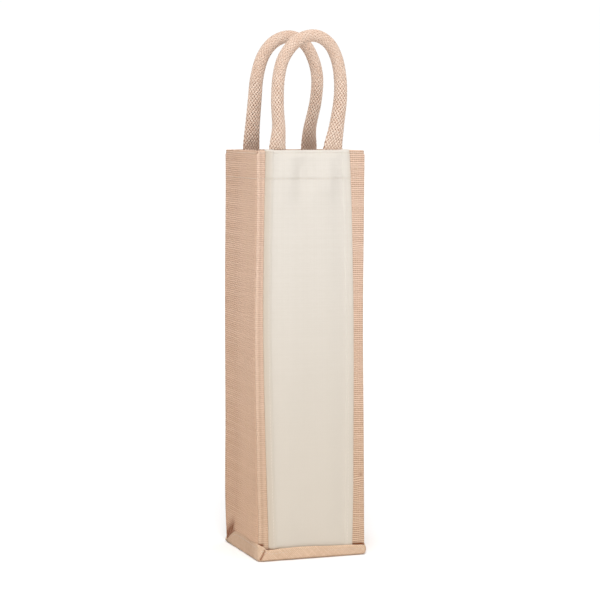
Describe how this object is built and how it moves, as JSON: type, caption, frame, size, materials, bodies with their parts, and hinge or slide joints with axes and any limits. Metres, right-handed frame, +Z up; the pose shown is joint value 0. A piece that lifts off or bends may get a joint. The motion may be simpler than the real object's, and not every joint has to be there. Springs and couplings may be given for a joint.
{
  "type": "wine gift bag",
  "caption": "Tall square-bottomed gift bag for one wine bottle: jute walls and base, canvas front, and two braided handles that fold over the rim.",
  "frame": {"origin": "middle of the underside of the base, on the surface the bag stands on", "axes": "+Z up through the mouth, the canvas panel faces -Y, +X is to the right of someone looking at the canvas"},
  "size_m": [0.105, 0.099, 0.4665],
  "materials": {
    "jute": "undyed laminated jute, plain weave of about 1.8 mm pitch, matt",
    "canvas": "unbleached cotton canvas, fine plain weave, matt",
    "webbing": "braided cotton webbing, matt",
    "filler_cord": "soft cotton filler cord",
    "thread": "polyester sewing thread, slight sheen"
  },
  "bodies": {
    "bag": {"front_panel": "jute", "back_panel": "jute", "left_gusset": "jute", "right_gusset": "jute", "base_panel": "jute", "canvas_panel": "canvas", "front_left_handle_tab": "webbing", "front_right_handle_tab": "webbing", "rear_left_handle_tab": "webbing", "rear_right_handle_tab": "webbing", "front_left_tab_stitching": "thread", "front_right_tab_stitching": "thread", "rear_left_tab_stitching": "thread", "rear_right_tab_stitching": "thread", "rim_stitching": "thread", "hem_stitching": "thread", "cuff_stitching": "thread", "canvas_left_stitching": "thread", "canvas_right_stitching": "thread", "front_left_seam_stitching": "thread", "front_right_seam_stitching": "thread", "rear_left_seam_stitching": "thread", "rear_right_seam_stitching": "thread"},
    "front_handle": {"front_handle_sleeve": "webbing", "front_handle_core": "filler_cord"},
    "rear_handle": {"rear_handle_sleeve": "webbing", "rear_handle_core": "filler_cord"}
  },
  "joints": [
    {"name": "front_handle_fold", "type": "hinge", "parent": "bag", "child": "front_handle", "pos_m": [0, -0.0469, 0.3612], "axis": [1, 0, 0], "range_deg": [-21, 170], "stiffness_Nm_per_rad": 0.08},
    {"name": "rear_handle_fold", "type": "hinge", "parent": "bag", "child": "rear_handle", "pos_m": [0, 0.046, 0.3612], "axis": [-1, 0, 0], "range_deg": [-21, 170], "stiffness_Nm_per_rad": 0.08}
  ]
}
